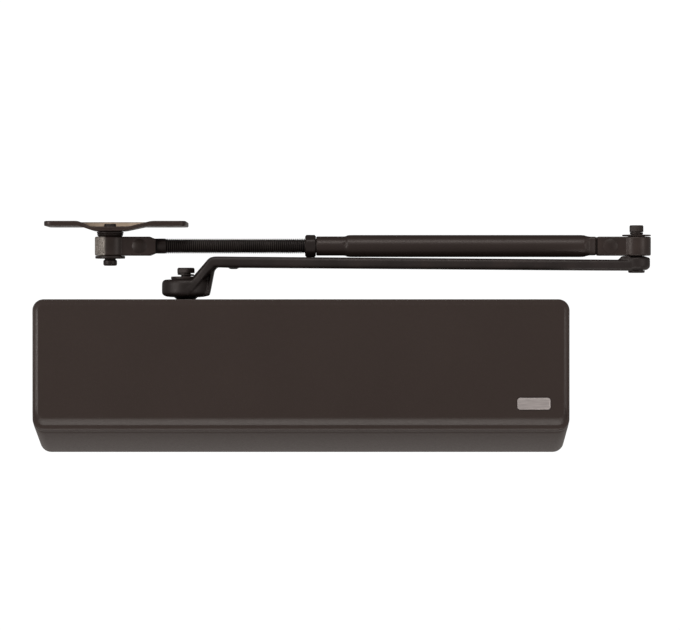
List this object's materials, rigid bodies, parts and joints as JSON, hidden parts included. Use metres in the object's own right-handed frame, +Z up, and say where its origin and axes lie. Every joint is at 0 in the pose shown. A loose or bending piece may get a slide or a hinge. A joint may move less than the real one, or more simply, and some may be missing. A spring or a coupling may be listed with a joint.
{
  "type": "surface-mounted door closer with folding arm",
  "caption": "Long box-shaped hydraulic door closer with a removable cover and a folding arm: main arm, adjustable rod and frame shoe.",
  "frame": {"origin": "middle of the casting's flat back face, level with the bore", "axes": "+X along the closer from the spindle end to the spring end, +Y towards the door, +Z up"},
  "size_m": [0.3709, 0.0578, 0.1402],
  "materials": {
    "cover_paint": "dark bronze powder coat, satin",
    "arm_paint": "dark bronze paint over forged and drawn steel, satin",
    "badge": "satin silver-grey",
    "casting": "as cast",
    "steel": "turned and oiled",
    "spring_steel": "oil-hardened wire",
    "brass": "turned",
    "rubber": "moulded"
  },
  "bodies": {
    "closer_body": {"body_casting": "casting", "upper_bearing": "steel", "lower_bearing": "steel", "spindle_seal_nut": "steel", "lower_spindle_cap": "steel", "left_end_plug": "steel", "right_end_plug": "steel", "left_plug_seal": "rubber", "right_plug_seal": "rubber", "outer_spring": "spring_steel", "inner_spring": "spring_steel", "cover_clip_left": "spring_steel", "cover_clip_right": "spring_steel"},
    "cover_shell": {"cover": "cover_paint", "badge_plate": "badge"},
    "spring_adjuster": {"power_adjuster": "steel"},
    "seat": {"spring_seat": "steel"},
    "sweep_screw": {"sweep_valve": "brass"},
    "latch_screw": {"latch_valve": "brass"},
    "backcheck_screw": {"backcheck_valve": "brass"},
    "piston_unit": {"piston": "steel", "piston_seal": "rubber", "check_valve": "brass"},
    "arm": {"pinion_spindle": "steel", "main_arm": "arm_paint", "arm_washer": "arm_paint", "arm_lock_washer": "arm_paint", "arm_screw": "arm_paint", "elbow_stud": "arm_paint", "elbow_washer": "arm_paint", "elbow_lock_washer": "arm_paint", "elbow_bolt": "arm_paint"},
    "elbow_knuckle": {"elbow_strap": "arm_paint", "elbow_rivet": "arm_paint"},
    "forearm": {"forearm_tube": "arm_paint"},
    "nut": {"lock_nut": "arm_paint"},
    "rod": {"adjusting_rod": "arm_paint"},
    "shoe_knuckle": {"shoe_strap": "arm_paint", "shoe_rivet": "arm_paint"},
    "shoe": {"shoe_stud": "arm_paint", "stud_washer": "arm_paint", "shoe_plate": "arm_paint"}
  },
  "joints": [
    {"name": "main_arm_swing", "type": "hinge", "parent": "closer_body", "child": "arm", "pos_m": [-0.0697, -0.0285, 0.0457], "axis": [0, 0, -1], "range_deg": [0, 165], "stiffness_Nm_per_rad": 2, "springref_deg": -28.65},
    {"name": "piston_stroke", "type": "slide", "parent": "closer_body", "child": "piston_unit", "axis": [1, 0, 0], "range_m": [0, 0.0231], "deforming": ["outer_spring", "inner_spring"]},
    {"name": "elbow_swing", "type": "hinge", "parent": "arm", "child": "elbow_knuckle", "pos_m": [0.2021, -0.0285, 0.071], "axis": [0, 0, 1], "continuous": true},
    {"name": "elbow_tilt", "type": "hinge", "parent": "elbow_knuckle", "child": "forearm", "pos_m": [0.1859, -0.0285, 0.071], "axis": [0, 1, 0], "range_deg": [0, 6]},
    {"name": "lock_nut_turn", "type": "hinge", "parent": "forearm", "child": "nut", "pos_m": [0.0055, -0.0285, 0.0711], "axis": [1, 0, 0], "continuous": true},
    {"name": "rod_extend", "type": "slide", "parent": "forearm", "child": "rod", "axis": [-1, 0, 0], "range_m": [-0.025, 0.02]},
    {"name": "shoe_tilt", "type": "hinge", "parent": "rod", "child": "shoe_knuckle", "pos_m": [-0.0975, -0.0285, 0.071], "axis": [0, 1, 0], "range_deg": [-6, 6]},
    {"name": "shoe_swing", "type": "hinge", "parent": "shoe_knuckle", "child": "shoe", "pos_m": [-0.1154, -0.0285, 0.0785], "axis": [0, 0, 1], "continuous": true},
    {"name": "cover_off", "type": "slide", "parent": "closer_body", "child": "cover_shell", "axis": [0, -1, 0], "range_m": [0, 0.065]},
    {"name": "power_adjuster_turn", "type": "hinge", "parent": "closer_body", "child": "spring_adjuster", "pos_m": [0.142, -0.0285, 0], "axis": [1, 0, 0], "range_deg": [0, 2880]},
    {"name": "spring_seat_travel", "type": "slide", "parent": "closer_body", "child": "seat", "axis": [-1, 0, 0], "range_m": [0, 0.0123], "deforming": ["outer_spring", "inner_spring"]},
    {"name": "sweep_valve_turn", "type": "hinge", "parent": "closer_body", "child": "sweep_screw", "pos_m": [-0.02, -0.052, 0.0226], "axis": [0, 1, 0], "range_deg": [-360, 360]},
    {"name": "latch_valve_turn", "type": "hinge", "parent": "closer_body", "child": "latch_screw", "pos_m": [0, -0.052, 0.0226], "axis": [0, 1, 0], "range_deg": [-360, 360]},
    {"name": "backcheck_valve_turn", "type": "hinge", "parent": "closer_body", "child": "backcheck_screw", "pos_m": [0.02, -0.052, 0.0226], "axis": [0, 1, 0], "range_deg": [-360, 360]}
  ],
  "couplings": [
    {"joint": "piston_stroke", "follows": "main_arm_swing", "m_per_rad": 0.008},
    {"joint": "spring_seat_travel", "follows": "power_adjuster_turn", "m_per_rad": 0.00023873}
  ]
}
